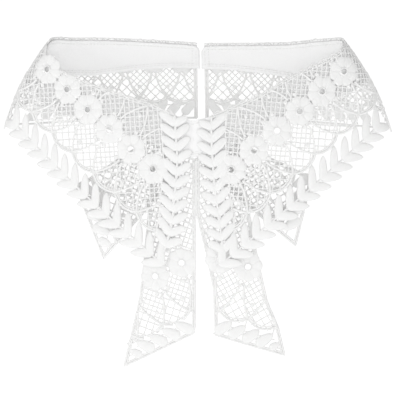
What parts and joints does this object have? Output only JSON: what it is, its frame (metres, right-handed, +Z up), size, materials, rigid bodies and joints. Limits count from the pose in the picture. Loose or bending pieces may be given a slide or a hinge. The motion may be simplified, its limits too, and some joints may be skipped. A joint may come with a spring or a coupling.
{
  "type": "detachable lace collar",
  "caption": "Detachable white lace collar: woven neckband, draped falls with flower and leaf motifs, and hanging tails.",
  "frame": {"origin": "middle of the neck opening, level with the neckband's top edge at centre back", "axes": "+Z up the neck, -Y towards the wearer's front, +X to the viewer's right"},
  "size_m": [0.2492, 0.0949, 0.2024],
  "materials": {
    "cotton_lace": "white embroidered cotton lace, soft satin stitch",
    "cotton_band": "white plain woven cotton, matt"
  },
  "bodies": {
    "root": {"neckband": "cotton_band", "front_fall_left": "cotton_lace", "front_fall_right": "cotton_lace", "back_fall_left": "cotton_lace", "back_fall_right": "cotton_lace", "long_tail_left": "cotton_lace", "long_tail_right": "cotton_lace", "short_tail_left": "cotton_lace", "short_tail_right": "cotton_lace"}
  },
  "joints": []
}
